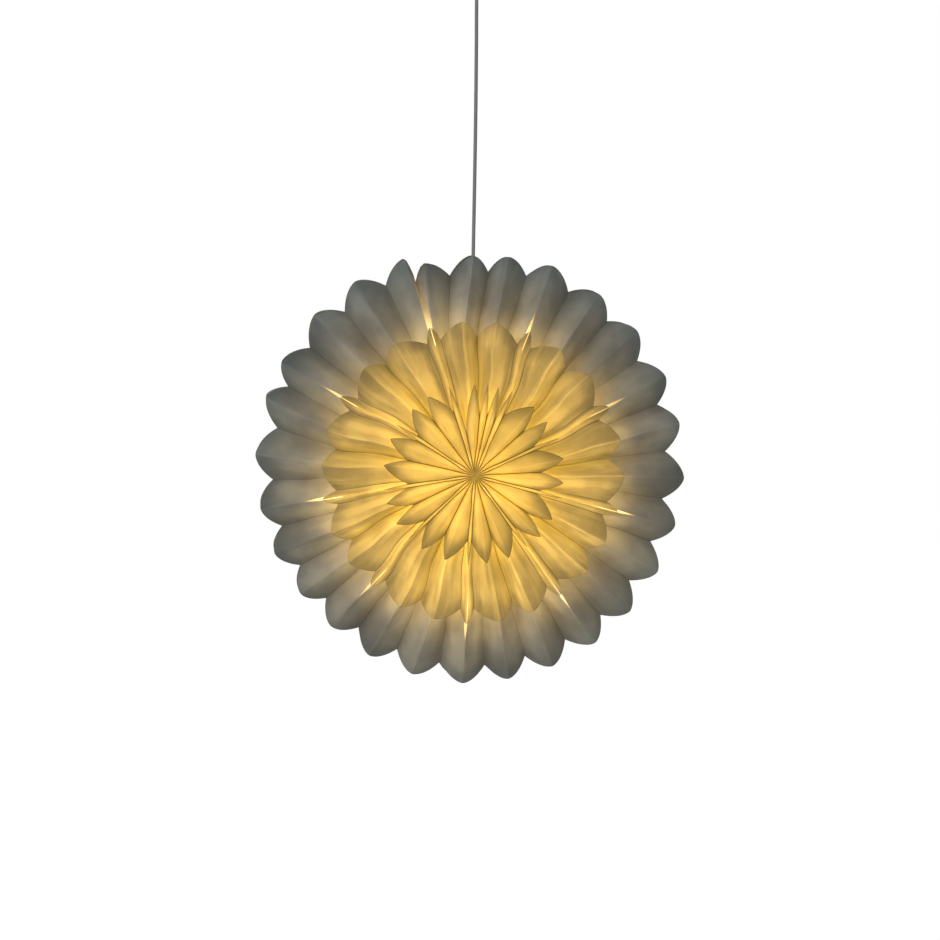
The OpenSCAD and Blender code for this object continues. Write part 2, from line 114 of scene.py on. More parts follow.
@dataclass(frozen=True)
class StarPlan:
    """Layout that all the sheets share."""

    joints_in: tuple = (-16.5, 24, 66, 104.5, 143, 183, 225, 260, 302.5, 343.5)
    joints_out: tuple = (-17, 21, 63.5, 104.5, 143.5, 181.5, 221.5, 259.5, 299.5, 343)
    reach: tuple = (-5, 7, 2, -3, -1, -2, -9, -3, 3, 9)
    modules: int = 9
    drop: float = 0.740
    star_r: float = 0.300
    middle_r: float = 0.210
    inner_r: float = 0.125
    fan_r: float = 0.045
    gather_r: float = 0.006
    outer_in_r: float = 0.182
    outer_tip_h: float = 0.022
    outer_in_h: float = 0.047
    middle_h: float = 0.072
    row_gap: float = 0.014
    stack_gap: float = 0.007
    rosette_w: float = 0.017
    middle_w: float = 0.034
    outer_w: float = 0.038
    slit_w: float = 0.003
    slit_end_r: float = 0.240
    seam_first_w: float = 0.020
    seam_last_w: float = 0.006
    tab_in_s: float = 0.0002
    glue_step: float = 0.00035
    least_depth: float = 0.2

    def joint_at(self, k: int, r: float) -> float:
        """Angle of joint k at radius r."""
        share = ease((r - self.inner_r) / (self.outer_in_r - self.inner_r))
        return mix(self.joints_in[k], self.joints_out[k], share)

    def mid_angle(self, k: int) -> float:
        """Angle of the middle of module k."""
        return (self.joints_in[k] + self.joints_in[k + 1]) / 2

    def reach_at(self, k: int, f: float) -> float:
        """How far the rim of module k stands out at a fraction f across it."""
        return mix(self.reach[k], self.reach[k + 1], f) * MM

    def pleat_depth(self, width: float, r: float, k: int) -> float:
        """Depth from ridge to valley of panels of that width at radius r in module k."""
        half = r * math.radians((self.joint_at(k + 1, r) - self.joint_at(k, r)) / PANELS)
        return math.sqrt(max(width * width - half * half, (width * self.least_depth) ** 2))

    def outer_ridge(self, r: float) -> float:
        """Height of the outer row's ridges over the mid-plane."""
        share = (r - self.outer_in_r) / (self.star_r - self.outer_in_r)
        return mix(self.outer_in_h, self.outer_tip_h, share)

    def middle_ridge(self, r: float) -> float:
        """Height of the middle row's ridges."""
        tip = self.outer_ridge(self.middle_r) + self.row_gap
        return mix(self.middle_h, tip, r / self.middle_r)

    def rosette_ridge(self, r: float) -> float:
        """Height of the rosette's ridges."""
        tip = self.middle_ridge(self.inner_r) + self.row_gap
        return mix(self.middle_h + self.rosette_w + self.stack_gap, tip, r / self.inner_r)

    def place(self, k: int, r: float, s: float, d: float, side: Side) -> Vector:
        """Point of module k at radius r, s along the arc from its middle and d over the mid-plane."""
        a = math.radians(self.mid_angle(k)) + s / r
        return Vector((r * math.sin(a), -side.value * d, -self.drop + r * math.cos(a)))


PLAN = StarPlan()
FOLDS_EVEN = (0, 0.167, 0.333, 0.5, 0.667, 0.833, 1)
FOLDS_MIDDLE = (0, 0.07, 0.32, 0.49, 0.66, 0.93, 1)
FOLDS_ROSETTE = ((0, 0.13, 0.40, 0.52, 0.61, 0.70, 0.78, 0.90, 1), (0, 0.04, 0.40, 0.58, 0.70, 0.96, 1),
                 (0, 0.04, 0.35, 0.56, 0.75, 0.96, 1), (0, 0.04, 0.39, 0.54, 0.73, 0.96, 1),
                 (0, 0.04, 0.34, 0.51, 0.69, 0.96, 1), (0, 0.04, 0.36, 0.52, 0.75, 0.96, 1),
                 (0, 0.04, 0.35, 0.50, 0.75, 0.96, 1), (0, 0.04, 0.37, 0.51, 0.77, 0.96, 1),
                 (0, 0.04, 0.34, 0.49, 0.64, 0.95, 1))


@dataclass(frozen=True)
class Marks:
    """Where a point of a sheet lies, for its finish's painted shade and glow.

    Distances are in metres. across runs from 0 in a valley to 1 on a ridge, and in_joint is 1 in a joint.
    """

    from_edge: float
    from_fold: float
    across: float
    in_joint: float = 0.0


@dataclass(frozen=True)
class RowShape:
    """What sets one row of pleated petals apart from the others.

    notches has the depth of each notch in the edge, drops the share of the full depth at each fold, and
    tab_s the distance of the glue tabs from the joint plane.
    """

    name: str
    r_in: float
    r_tip: float
    notches: tuple
    edge_power: float
    panel_w: float
    drops: tuple
    tab_s: float
    round_ridge: float


class PleatedSheet:
    """A pleated strip of one module, with a glue tab down each of its joints."""

    columns_per_panel: int = 12
    tab_columns: int = 1
    rings: int = 36
    hub_r: float = 0.009
    hub_line: float = 0.0007
    tab_full_r: float = 0.02
    narrow_panel: float = 0.15
    fold_play: float = 0.004
    tip_play: float = 0.0015
    lift_play: float = 0.0010

    def __init__(self, row: RowShape, k: int, side: Side, ridge: Callable[[float], float],
                 tab_foot: Callable[[float], float], folds: Sequence[float]) -> None:
        """Keeps the row's shape and draws this sheet's own small differences.

        Args:
            row: the row's shape.
            k: number of the module, from 0.
            side: front or back of the star.
            ridge: ridge height at a radius.
            tab_foot: height at which the glue tab ends at a radius.
            folds: fractions across the module at which its folds lie.
        """
        self.row, self.k, self.side, self.ridge, self.tab_foot = row, k, side, ridge, tab_foot
        self.panels = len(folds) - 1
        rand = wave(100 * k + (7 if side is Side.BACK else 1) + len(row.name))
        inner = range(2, self.panels - 1)
        self.folds = [f + (self.fold_play * rand() if i in inner else 0.0) for i, f in enumerate(folds)]
        self.tip_shift = [self.tip_play * rand() for _ in folds]
        self.lift = [self.lift_play * rand() for _ in folds]

    def fold_place(self, i: int, r: float) -> float:
        """Fraction across the module of fold i at radius r."""
        t = ease((r - PLAN.gather_r) / (PLAN.fan_r - PLAN.gather_r))
        return mix(i / self.panels, self.folds[i], t)

    def point(self, c: float, u: float) -> tuple:
        """Place of a point of the sheet.

        Args:
            c: column, from -1 (foot of the first tab) through 0 to the number of panels and 1 more.
            u: share of the way from the gathered end to the petals' edge.

        Returns:
            Its place and its marks.
        """
        row, k = self.row, self.k
        tab = max(-c, c - self.panels, 0.0)
        flat = min(float(self.panels), max(0.0, c))
        panel = min(self.panels - 1, int(flat))
        x = (1 - math.cos(math.pi * (flat - panel))) / 2
        valley = x if panel % 2 == 0 else 1 - x
        shift = 0.0 if tab else mix(self.tip_shift[panel], self.tip_shift[panel + 1], x)
        tip = row.r_tip + shift - row.notches[panel // 2] * valley ** row.edge_power
        r = mix(row.r_in, tip, u)
        f0, f1 = self.fold_place(panel, r), self.fold_place(panel + 1, r)
        off = min(1.0, r / self.tab_full_r) * row.tab_s
        f = mix(f0, f1, x)
        a = mix(PLAN.joint_at(k, r), PLAN.joint_at(k + 1, r), f)
        s = math.radians(a - PLAN.mid_angle(k)) * r + mix(off, -off, f)
        if tab:
            d = mix(self.ridge(r), self.tab_foot(r), tab)
        else:
            wide = clamp01(abs(f1 - f0) / self.narrow_panel)
            soft = mix(valley, 1 - math.cos(math.pi * valley / 2), row.round_ridge * wide)
            drop = row.drops[panel + 1 if panel % 2 == 0 else panel]
            d = self.ridge(r) - drop * soft * PLAN.pleat_depth(row.panel_w, r, k)
            d += mix(self.lift[panel], self.lift[panel + 1], x) * u
        arc = abs(f1 - f0) * math.radians(PLAN.joint_at(k + 1, r) - PLAN.joint_at(k, r)) * r
        # hub lifts from_fold near the gathered end, so the painted valley shade fades there
        hub = self.hub_line * clamp01(1 - r / self.hub_r)
        marks = Marks((tip - row.r_in) * (1 - u), (1 - valley) * arc + hub, 1 - valley, tab)
        return PLAN.place(k, r, s, d, self.side), marks

    def build(self, name: str) -> Thing:
        """Makes the sheet's mesh from a flat grid folded into place.

        Args:
            name: the piece's name.

        Returns:
            The new object, with its paper's thickness still a modifier.
        """
        columns = self.panels * self.columns_per_panel
        across = columns + 2 * self.tab_columns

        def column(i: int) -> float:
            """Column number as a number of panels."""
            if i < self.tab_columns:
                return i / self.tab_columns - 1
            if i > self.tab_columns + columns:
                return self.panels + (i - self.tab_columns - columns) / self.tab_columns
            return (i - self.tab_columns) / self.columns_per_panel

        def point(i: int, j: int) -> tuple:
            """Place and marks of a grid point."""
            return self.point(column(i), ring_share(j, self.rings))

        return fold_grid(name, across, self.rings, point, self.side, False)


def ring_share(j: int, rings: int, crowding: float = 0.55) -> float:
    """Share of the way out of ring j, with rings closer together towards the cut edge."""
    t = j / rings
    return mix(t, math.sin(math.pi * t / 2), crowding)


def put(name: str, data: bpy.types.ID) -> Thing:
    """Makes an object of some data and puts it in the scene."""
    thing = bpy.data.objects.new(name, data)
    bpy.context.scene.collection.objects.link(thing)
    return thing


def put_mesh(name: str, bm: bmesh.types.BMesh) -> Thing:
    """Puts a finished mesh in the scene and frees what it was made in."""
    mesh = bpy.data.meshes.new(name)
    bm.to_mesh(mesh)
    bm.free()
    return put(name, mesh)


def fold_grid(name: str, across: int, along: int, point: Callable[[int, int], tuple], side: Side,
              closed: bool) -> Thing:
    """Folds a flat grid into a sheet.

    Args:
        name: the piece's name.
        across: number of faces across the sheet.
        along: number of faces along it.
        point: gives the place and the marks of a grid point.
        side: which way the sheet's outer face looks.
        closed: whether the last column joins the first.

    Returns:
        The new object.
    """
    bm = bmesh.new()
    bmesh.ops.create_grid(bm, x_segments=across, y_segments=along, size=0.5)
    layers = {f.name: bm.verts.layers.float.new(f.name) for f in fields(Marks)}
    uv = bm.loops.layers.uv.new("paper")
    flat = {v: (v.co.x + 0.5, v.co.y + 0.5) for v in bm.verts}
    for v, (x, y) in flat.items():
        v.co, marks = point(round(x * across), round(y * along))
        for word, layer in layers.items():
            v[layer] = getattr(marks, word)
    for face in bm.faces:
        for loop in face.loops:
            loop[uv].uv = flat[loop.vert]
        face.smooth = True
    if closed:
        bmesh.ops.remove_doubles(bm, verts=bm.verts, dist=MERGE)
    if side is Side.BACK:
        bmesh.ops.reverse_faces(bm, faces=bm.faces)
    piece = put_mesh(name, bm)
    thick = piece.modifiers.new("paper_thickness", "SOLIDIFY")
    thick.thickness = PAPER_T
    thick.offset = 0
    return piece


class OuterModule:
    """The bag of one outer module: front pleats, joint wall, back pleats, joint wall."""

    columns_per_panel: int = 12
    wall_columns: int = 16
    rings: int = 40
    notch: float = 0.024
    edge_power: float = 1.7
    wall_flat: float = 0.6
    turn_r: float = 0.220
    turn_len: float = 0.015
    pillow: float = 0.0022
    pillow_low: float = 0.2
    pillow_rise: float = 0.7
    soft_ridge: float = 0.3
    fold_play: float = 0.008
    tip_play: float = 0.0015
    bulge_play: float = 0.4
    ridge_shift: tuple = ((0.04, -0.01), (0, -0.01), (-0.01, 0.01), (0.01, 0.01), (0.01, 0), (0.01, 0),
                          (-0.01, 0), (0.03, 0.08), (0.02, 0))

    def __init__(self, k: int) -> None:
        """Draws the module's own small differences.

        Args:
            k: number of the module, from 0.
        """
        self.k = k
        rand = wave(500 + k)
        first, last = self.ridge_shift[k]
        lean = (0, first / 2, first, (first + last) / 2, last, last / 2, 0)
        ends, folds = (0, PANELS), range(PANELS + 1)
        self.fold_shift = [[0.0 if i in ends else lean[i] + self.fold_play * rand() for i in folds]
                           for _ in Side]
        self.tip_shift = [[0.0 if i in ends else self.tip_play * rand() for i in folds] for _ in Side]
        self.bulge = [[1 + self.bulge_play * rand() for _ in range(PANELS)] for _ in Side]

    def at_seam(self, last: bool) -> bool:
        """Whether the first or the last joint of this module is the closing seam."""
        return self.k == 0 and not last or self.k == PLAN.modules - 1 and last

    def spread(self, last: bool, r: float) -> float:
        """Half width of the slit or seam beside the module at radius r."""
        if self.at_seam(last):
            wide = PLAN.seam_last_w if last else PLAN.seam_first_w
            return mix(PLAN.slit_w, wide, clamp01((r - PLAN.middle_r) / (PLAN.star_r - PLAN.middle_r)))
        return PLAN.slit_w * clamp01((PLAN.slit_end_r - r) / (PLAN.slit_end_r - PLAN.outer_in_r))

    def wall_s(self, r: float) -> float:
        """Distance of the joint wall's middle from the joint plane."""
        inside = PLAN.tab_in_s + 2 * PLAN.glue_step
        return mix(inside, PLAN.tab_in_s, clamp01((r - self.turn_r) / self.turn_len))

    def front_point(self, c: float, u: float, side: Side) -> tuple:
        """Radius, arc, height and marks of a point of the pleats.

        Args:
            c: column as a number of panels from the first joint, 0 to 6.
            u: share of the way from the inner edge to the rim.
            side: front or back pleats.

        Returns:
            r, s, d and the point's marks.
        """
        which = 0 if side is Side.FRONT else 1
        panel = min(PANELS - 1, int(c))
        x = (1 - math.cos(math.pi * (c - panel))) / 2
        notch = x if panel % 2 == 0 else 1 - x
        shifts = self.fold_shift[which]
        f = mix(FOLDS_EVEN[panel] + shifts[panel] * u, FOLDS_EVEN[panel + 1] + shifts[panel + 1] * u, x)
        shift = mix(self.tip_shift[which][panel], self.tip_shift[which][panel + 1], x)
        shift += PLAN.reach_at(self.k, f)
        tip = PLAN.star_r + shift - self.notch * notch ** self.edge_power
        r = mix(PLAN.outer_in_r, tip, u)
        stop = mix(PLAN.outer_in_r, PLAN.star_r, u)
        gap = [math.degrees((self.wall_s(stop) + self.spread(last, stop)) / stop) for last in (False, True)]
        a = mix(PLAN.joint_at(self.k, r) + gap[0], PLAN.joint_at(self.k + 1, r) - gap[1], f)
        share = mix(notch, ease(notch), self.soft_ridge)
        d = PLAN.outer_ridge(r) - share * PLAN.pleat_depth(PLAN.outer_w, r, self.k)
        swell = math.sin(math.pi * min(1, self.pillow_low + self.pillow_rise * u))
        d += self.pillow * self.bulge[which][panel] * math.sin(math.pi * x) * swell
        arc = math.radians(PLAN.joint_at(self.k + 1, r) - PLAN.joint_at(self.k, r)) * r / PANELS
        marks = Marks((tip - PLAN.outer_in_r) * (1 - u), (1 - notch) * arc, 1 - notch)
        return r, math.radians(a - PLAN.mid_angle(self.k)) * r, d, marks

    def build(self, name: str) -> Thing:
        """Makes the bag's mesh from a flat grid folded round and closed on itself.

        Args:
            name: the piece's name.

        Returns:
            The new object, with its paper's thickness still a modifier.
        """
        panels = PANELS * self.columns_per_panel
        across = 2 * (panels + self.wall_columns)

        def wall_point(last: bool, w: float, u: float) -> tuple:
            """Point of a joint wall, w from its front ridge (0) to its back ridge (1)."""
            stop = mix(PLAN.outer_in_r, PLAN.star_r, u)
            lean = clamp01((abs(1 - 2 * w) - self.wall_flat) / (1 - self.wall_flat))
            rim = PLAN.star_r + PLAN.reach_at(self.k, 1.0 if last else 0.0)
            if self.at_seam(last):
                rim -= self.notch * (1 - lean) ** self.edge_power
            r = mix(PLAN.outer_in_r, rim, u)
            ridge = PLAN.outer_ridge(r)
            d = mix(ridge, -ridge, w)
            off = self.wall_s(stop) + self.spread(last, stop) * lean
            joint = PLAN.joint_at(self.k + (1 if last else 0), r)
            s = math.radians(joint - PLAN.mid_angle(self.k)) * r + (-off if last else off)
            marks = Marks((rim - PLAN.outer_in_r) * (1 - u), from_fold=0.01, across=0.5, in_joint=1.0)
            return r, s, d, marks

        def point(i: int, j: int) -> tuple:
            """Place and marks of a grid point."""
            u = ring_share(j, self.rings)
            i = i % across
            if i <= panels:
                r, s, d, marks = self.front_point(i / self.columns_per_panel, u, Side.FRONT)
            elif i < panels + self.wall_columns:
                r, s, d, marks = wall_point(True, (i - panels) / self.wall_columns, u)
            elif i <= 2 * panels + self.wall_columns:
                c = (2 * panels + self.wall_columns - i) / self.columns_per_panel
                r, s, d, marks = self.front_point(c, u, Side.BACK)
                d = -d
            else:
                w = 1 - (i - 2 * panels - self.wall_columns) / self.wall_columns
                r, s, d, marks = wall_point(False, w, u)
            return PLAN.place(self.k, r, s, d, Side.FRONT), marks

        return fold_grid(name, across, self.rings, point, Side.FRONT, True)


class Nodes:
    """Short way to lay out a material's nodes."""

    def __init__(self, name: str) -> None:
        """Starts an empty material of that name."""
        self.material = bpy.data.materials.new(name)
        self.material.use_nodes = True
        self.tree = self.material.node_tree
        self.tree.nodes.clear()
        self.out = self.tree.nodes.new("ShaderNodeOutputMaterial")

    def add(self, kind: str, **values: object) -> bpy.types.Node:
        """Adds a node and sets its properties or inputs.

        Args:
            kind: the node's type without its common prefix.
            **values: properties by name, or inputs by name with underscores for spaces.

        Returns:
            The new node.
        """
        node = self.tree.nodes.new("ShaderNode" + kind)
        for key, value in values.items():
            if hasattr(node, key):
                setattr(node, key, value)
            else:
                node.inputs[key.replace("_", " ")].default_value = value
        return node

    def link(self, a: Socket, b: Socket) -> None:
        """Joins an output to an input."""
        self.tree.links.new(a, b)

    def span(self, source: Socket, start: float, end: float, low: float,
             high: float, smooth: bool = True) -> Socket:
        """Maps a value from start..end onto low..high.

        Args:
            source: what is mapped.
            start: value that gives low.
            end: value that gives high.
            low: result at and below start.
            high: result at and above end.
            smooth: whether the way between is an S curve.

        Returns:
            The result.
        """
        node = self.add("MapRange", interpolation_type="SMOOTHSTEP" if smooth else "LINEAR",
                        From_Min=start, From_Max=end, To_Min=low, To_Max=high)
        self.link(source, node.inputs["Value"])
        return node.outputs["Result"]

    def mark(self, name: str) -> Socket:
        """Value that the sheets carry under a name."""
        return self.add("Attribute", attribute_name=name).outputs["Fac"]

    def place(self) -> Socket:
        """Place on the piece, in metres."""
        return self.add("TexCoord").outputs["Object"]

    def feed(self, socket: Socket, value: object) -> None:
        """Gives a socket a fixed vector or colour, or joins another socket to it."""
        if isinstance(value, tuple):
            socket.default_value = value
        else:
            self.link(value, socket)

    def vector(self, operation: str, first: Socket, second: object,
               output: str = "Vector") -> Socket:
        """Vector sum.

        Args:
            operation: the node's operation.
            first: first vector.
            second: second vector, fixed or a socket.
            output: name of the result that is wanted.

        Returns:
            The result.
        """
        node = self.add("VectorMath", operation=operation)
        self.link(first, node.inputs[0])
        self.feed(node.inputs[1], second)
        return node.outputs[output]

    def noise(self, place: Socket, scale: float, detail: float,
              roughness: float = 0.5) -> Socket:
        """Soft noise.

        Args:
            place: vector that it is read at.
            scale: how many waves a unit has.
            detail: number of finer layers.
            roughness: strength of the finer layers.

        Returns:
            Its value, about 0.3 to 0.7.
        """
        node = self.add("TexNoise", Scale=scale, Detail=detail, Roughness=roughness)
        self.link(place, node.inputs["Vector"])
        return node.outputs["Fac"]

    def bump(self, height: Socket, strength: float, distance: float) -> Socket:
        """Normal of a surface roughened by a height."""
        node = self.add("Bump", Strength=strength, Distance=distance)
        self.link(height, node.inputs["Height"])
        return node.outputs["Normal"]

    def times(self, *factors: Socket) -> Socket:
        """Product of some values."""
        result = factors[0]
        for factor in factors[1:]:
            product = self.add("Math", operation="MULTIPLY")
            self.link(result, product.inputs[0])
            self.link(factor, product.inputs[1])
            result = product.outputs["Value"]
        return result

    def tint(self, colour: object, factor: Socket) -> Socket:
        """Colour, or a socket that gives one, darkened by a factor."""
        node = self.add("Mix", data_type="RGBA", blend_type="MULTIPLY")
        node.inputs["Factor"].default_value = 1.0
        self.feed(node.inputs[6], (*colour, 1) if isinstance(colour, tuple) else colour)
        self.link(factor, node.inputs[7])
        return node.outputs[2]

    def ramp(self, source: Socket, stops: Sequence[tuple]) -> bpy.types.Node:
        """Adds a colour ramp.

        Args:
            source: what drives it.
            stops: pairs of place and colour, two or more.

        Returns:
            The ramp's node.
        """
        node = self.add("ValToRGB")
        elements = node.color_ramp.elements
        while len(elements) < len(stops):
            elements.new(0.5)
        for element, (place, colour) in zip(elements, stops):
            element.position = place
            element.color = (*colour, 1)
        self.link(source, node.inputs["Fac"])
        return node


@dataclass(frozen=True)
class PaperFinish:
    """Translucent paper: its colour, how much light it lets through, its painted glow, and the painted shade
    and highlights along its folds.
    """

    name: str
    colour: tuple
    cloud: tuple
    through: tuple
    translucency: float
    # painted glow: the paper's emission colour, which glows in place of light from the bulb
    glow: tuple
    # painted shade: the paper is darkened in a thin band along its cut edges
    edge_line: float = 0.9
    # painted shade: a thin dark line is painted along each valley fold
    fold_line: float = 0.7
    line_w: float = 0.0009
    # painted highlight: the paper is brightened along each ridge
    crease: float = 1.1
    # painted shade: each panel is darkened across its width towards its valley
    hollow: float = 0.88
    # painted shade: the paper is darkened towards the petals' tips
    tip: float = 0.85
    tip_w: float = 0.025
    streak: float = 0.12
    patch: float = 0.09
    # painted light and shade: how strongly panels are brightened or darkened by the way they lean
    side: float = 0.15
    # painted glow: extra glow of the paper in the joints
    joint_glow: float = 2.0
    joint_shade: float = 1.0
    light_from: tuple = (-0.75, -0.3, 0.6)
    lean_range: tuple = (-0.7, 0.9)
    cloud_scale: float = 16.0
    cloud_range: tuple = (0.35, 0.65)
    fibre_scale: float = 900.0
    fibre_strength: float = 0.25
    fibre_depth: float = 0.0003
    streak_stretch: tuple = (15.0, 0.9, 1.0)
    roughness: float = 0.85
    specular: float = 0.2
    edge_start: float = 0.0004
    fold_start: float = 0.0002
    hollow_to: float = 0.6
    crease_from: float = 0.93
    glow_stops: tuple = ((0.0, 0.85), (0.22, 0.95), (0.45, 0.8), (0.62, 0.6), (0.8, 0.16), (1.0, 0.0))
    glow_reach: float = 0.30
    glow_middle: tuple = (0, 0, -PLAN.drop - 0.008)

    def folds(self, n: Nodes) -> Socket:
        """Painted shade and highlights of the paper along its cut edges, valleys, ridges and tips."""
        edge, fold, across = n.mark("from_edge"), n.mark("from_fold"), n.mark("across")
        return n.times(n.span(edge, self.edge_start, self.line_w + self.edge_start, self.edge_line, 1.0),
                       n.span(edge, 0.0, self.tip_w, self.tip, 1.0),
                       n.span(fold, self.fold_start, self.line_w, self.fold_line, 1.0),
                       n.span(across, 0.0, self.hollow_to, self.hollow, 1.0),
                       n.span(across, self.crease_from, 1.0, 1.0, self.crease),
                       n.span(n.mark("in_joint"), 0.0, 1.0, 1.0, self.joint_shade))

    def streaks(self, n: Nodes) -> Socket:
        """Soft light and dark streaks that run out along the petals."""
        stretched = n.vector("MULTIPLY", n.add("UVMap", uv_map="paper").outputs["UV"], self.streak_stretch)
        noise = n.noise(n.vector("ADD", stretched, n.place()), 1.0, 3.0, 0.55)
        return n.span(noise, *self.cloud_range, 1 - self.streak, 1 + self.streak)

    def modelling(self, n: Nodes) -> Socket:
        """Painted light and shade: panels that lean towards light_from are brightened and the others
        darkened.
        """
        lean = n.vector("DOT_PRODUCT", n.add("NewGeometry").outputs["Normal"], self.light_from, "Value")
        return n.span(lean, *self.lean_range, 1 - self.side, 1 + self.side, False)

    def glow_share(self, n: Nodes) -> Socket:
        """Painted glow that stands in for the light the lit paper scatters, set by its distance from the
        bulb's axis.
        """
        apart = n.vector("SUBTRACT", n.place(), self.glow_middle)
        reach = n.vector("LENGTH", n.vector("MULTIPLY", apart, (1, 0, 1)), (0, 0, 0), "Value")
        share = n.span(reach, 0.0, self.glow_reach, 0.0, 1.0, False)
        profile = n.ramp(share, [(p, (v, v, v)) for p, v in self.glow_stops])
        return n.times(profile.outputs["Color"], n.span(n.mark("in_joint"), 0.0, 1.0, 1.0, self.joint_glow))

    @cache
    def material(self) -> bpy.types.Material:
        """Makes the material, once."""
        n = Nodes(self.name)
        clouds = n.noise(n.place(), self.cloud_scale, 5.0, 0.55)
        fibres = n.noise(n.place(), self.fibre_scale, 3.0, 0.7)
        low, high = self.cloud_range
        tone = n.ramp(clouds, [(low, self.cloud), (high, self.colour)])
        patches = n.span(clouds, low, high, 1 - self.patch, 1 + self.patch)
        # painted shade and highlights along the folds, times random streaks and patches; this scales the base
        # colour, the painted glow and the light let through
        shade = n.times(self.folds(n), self.streaks(n), patches)
        normal = n.bump(fibres, self.fibre_strength, self.fibre_depth)
        face = n.add("BsdfPrincipled", Roughness=self.roughness)
        face.inputs["Specular IOR Level"].default_value = self.specular
        face.inputs["Emission Color"].default_value = (*self.glow, 1)
        n.link(n.tint(tone.outputs["Color"], shade), face.inputs["Base Color"])
        n.link(normal, face.inputs["Normal"])
        # painted glow, times the painted shade and the painted side light
        n.link(n.times(self.glow_share(n), shade, self.modelling(n)), face.inputs["Emission Strength"])
        through = n.add("BsdfTranslucent")
        n.link(n.tint(self.through, shade), through.inputs["Color"])
        n.link(normal, through.inputs["Normal"])
        blend = n.add("MixShader")
        blend.inputs["Fac"].default_value = self.translucency
        n.link(face.outputs["BSDF"], blend.inputs[1])
        n.link(through.outputs["BSDF"], blend.inputs[2])
        n.link(blend.outputs["Shader"], n.out.inputs["Surface"])
        return n.material


@dataclass(frozen=True)
class SolidFinish:
    """An opaque finish with a fine grain and a little variation in tone; the lit glass glows as well."""

    name: str
    colour: tuple
    roughness: float
    metallic: float = 0.0
    grain_scale: float = 400.0
    grain_strength: float = 0.4
    grain_depth: float = 0.00005
    cloud_scale: float = 60.0
    cloud_detail: float = 4.0
    cloud_range: tuple = (0.35, 0.65)
    tone: float = 0.92
    glow: tuple = (1.0, 1.0, 1.0)
    strength: float = 0.0

    @cache
    def material(self) -> bpy.types.Material:
        """Makes the material, once."""
        n = Nodes(self.name)
        low, high = self.cloud_range
        shade = tuple(c * self.tone for c in self.colour)
        cloud = n.noise(n.place(), self.cloud_scale, self.cloud_detail)
        tone = n.ramp(cloud, [(low, shade), (high, self.colour)])
        face = n.add("BsdfPrincipled", Roughness=self.roughness, Metallic=self.metallic)
        n.link(tone.outputs["Color"], face.inputs["Base Color"])
        if self.grain_strength:
            grain = n.noise(n.place(), self.grain_scale, 3.0)
            n.link(n.bump(grain, self.grain_strength, self.grain_depth), face.inputs["Normal"])
        face.inputs["Emission Color"].default_value = (*self.glow, 1)
        face.inputs["Emission Strength"].default_value = self.strength
        n.link(face.outputs["BSDF"], n.out.inputs["Surface"])
        return n.material


RIM_PAPER = PaperFinish("rim_paper", (0.76, 0.82, 0.80), (0.70, 0.76, 0.74), (0.90, 0.86, 0.70), 0.18,
                        (0.38, 0.230, 0.090), edge_line=0.85, fold_line=0.78, crease=1.08, hollow=0.82,
                        tip=0.9, streak=0.13, side=0.3, joint_glow=3.5)
LAMP_PAPER = PaperFinish("lamp_paper", (0.80, 0.74, 0.60), (0.74, 0.68, 0.54), (0.92, 0.90, 0.66), 0.4,
                         (0.46, 0.265, 0.026), edge_line=0.9, fold_line=0.62, crease=1.12, hollow=0.82,
                         tip=0.9, tip_w=0.03, streak=0.16, side=0.35)
ROSETTE_PAPER = PaperFinish("rosette_paper", (0.82, 0.70, 0.50), (0.77, 0.65, 0.45), (0.92, 0.90, 0.66), 0.4,
                            (0.44, 0.265, 0.028), edge_line=0.36, fold_line=0.34, line_w=0.0011, crease=1.04,
                            hollow=0.80, tip=0.74, tip_w=0.03, streak=0.07, side=0.3)
WHITE_PLASTIC = SolidFinish("white_plastic", (0.80, 0.80, 0.78), 0.4)
WHITE_CORD = SolidFinish("white_cord", (0.88, 0.88, 0.87), 0.45)
TERMINAL_PLASTIC = SolidFinish("terminal_plastic", (0.74, 0.71, 0.62), 0.5)
PLATED_STEEL = SolidFinish("plated_steel", (0.62, 0.62, 0.60), 0.35, 0.9)
CERAMIC = SolidFinish("ceramic", (0.82, 0.80, 0.75), 0.2)
CAP_METAL = SolidFinish("cap_metal", (0.70, 0.69, 0.66), 0.3, 1.0)
LIT_GLASS = SolidFinish("opal_glass", (0.95, 0.9, 0.8), 0.35, grain_strength=0.0, cloud_scale=25.0,
                        cloud_detail=2.0, cloud_range=(0.3, 0.7), tone=0.96, glow=(1.0, 0.72, 0.36),
                        strength=6.0)


